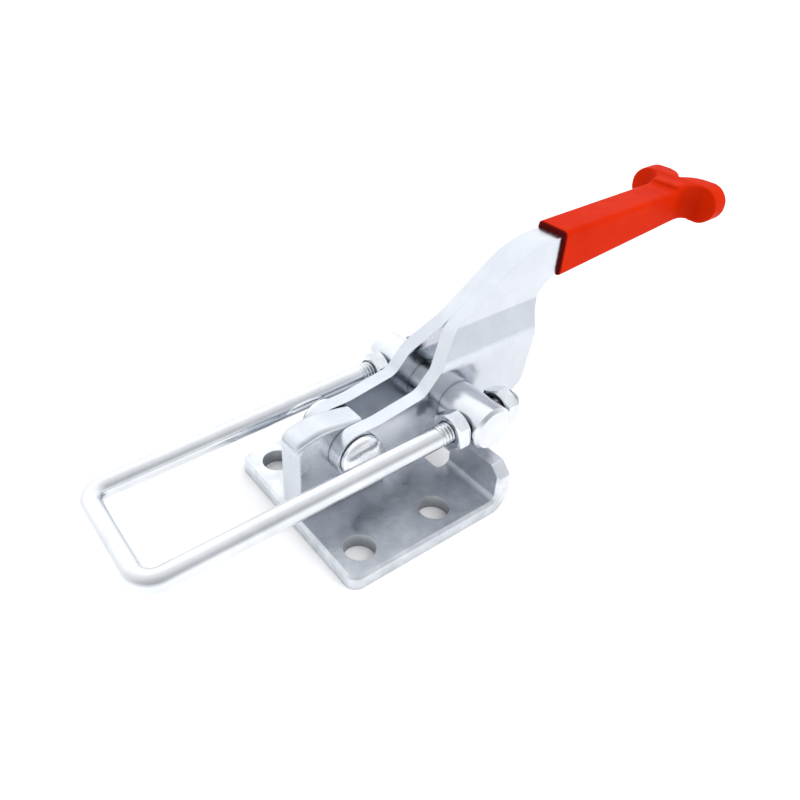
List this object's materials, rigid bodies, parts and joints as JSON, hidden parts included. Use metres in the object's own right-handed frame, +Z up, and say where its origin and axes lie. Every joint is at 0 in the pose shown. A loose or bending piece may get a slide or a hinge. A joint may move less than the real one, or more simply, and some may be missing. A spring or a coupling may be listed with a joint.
{
  "type": "over centre toggle latch",
  "caption": "Horizontal toggle latch: a joggled two-plate handle with a dipped grip pulls a long adjustable U-shaped hook bolt tight over a bolted base and locks past centre.",
  "frame": {"origin": "centre of the four bolt holes on the base's bottom face", "axes": "+X towards the grip, -X towards the hook's bar, +Y the right side of a person who holds the grip and faces the hook, +Z up from the mounting surface"},
  "size_m": [0.201, 0.0578, 0.0675],
  "materials": {
    "plated_steel": "bright zinc plate, mirror-like, clear passivated",
    "grip_vinyl": "soft red vinyl dip, satin"
  },
  "bodies": {
    "base": {"base_plate": "plated_steel", "pivot_bracket": "plated_steel", "pivot_rivet": "plated_steel"},
    "handle": {"handle_plate_left": "plated_steel", "handle_plate_right": "plated_steel", "grip": "grip_vinyl"},
    "trunnion": {"trunnion": "plated_steel"},
    "hook": {"u_bolt": "plated_steel"},
    "front_nut_left": {"front_nut_left": "plated_steel"},
    "front_nut_right": {"front_nut_right": "plated_steel"},
    "rear_nut_left": {"rear_nut_left": "plated_steel"},
    "rear_nut_right": {"rear_nut_right": "plated_steel"}
  },
  "joints": [
    {"name": "handle_pivot", "type": "hinge", "parent": "base", "child": "handle", "pos_m": [-0.00395, 0, 0.02345], "axis": [0, -1, 0], "range_deg": [0, 140]},
    {"name": "trunnion_swivel", "type": "hinge", "parent": "handle", "child": "trunnion", "pos_m": [0.0288, 0, 0.0267], "axis": [0, -1, 0], "range_deg": [-140, 0]},
    {"name": "hook_adjust", "type": "slide", "parent": "trunnion", "child": "hook", "axis": [-0.9998, 0, -0.022], "range_m": [0, 0.004]},
    {"name": "front_nut_left_turn", "type": "hinge", "parent": "trunnion", "child": "front_nut_left", "pos_m": [0.0201, -0.0172, 0.02651], "axis": [0.9998, 0, 0.022], "range_deg": [0, 1440]},
    {"name": "front_nut_right_turn", "type": "hinge", "parent": "trunnion", "child": "front_nut_right", "pos_m": [0.0201, 0.0172, 0.02651], "axis": [0.9998, 0, 0.022], "range_deg": [0, 1440]},
    {"name": "rear_nut_left_turn", "type": "hinge", "parent": "trunnion", "child": "rear_nut_left", "pos_m": [0.0375, -0.0172, 0.02689], "axis": [0.9998, 0, 0.022], "range_deg": [0, 1440]},
    {"name": "rear_nut_right_turn", "type": "hinge", "parent": "trunnion", "child": "rear_nut_right", "pos_m": [0.0375, 0.0172, 0.02689], "axis": [0.9998, 0, 0.022], "range_deg": [0, 1440]}
  ],
  "couplings": [
    {"joint": "trunnion_swivel", "follows": "handle_pivot", "ratio": -1},
    {"joint": "front_nut_left_turn", "follows": "hook_adjust", "rad_per_m": 6283.2},
    {"joint": "front_nut_right_turn", "follows": "hook_adjust", "rad_per_m": 6283.2},
    {"joint": "rear_nut_left_turn", "follows": "hook_adjust", "rad_per_m": 6283.2},
    {"joint": "rear_nut_right_turn", "follows": "hook_adjust", "rad_per_m": 6283.2}
  ]
}
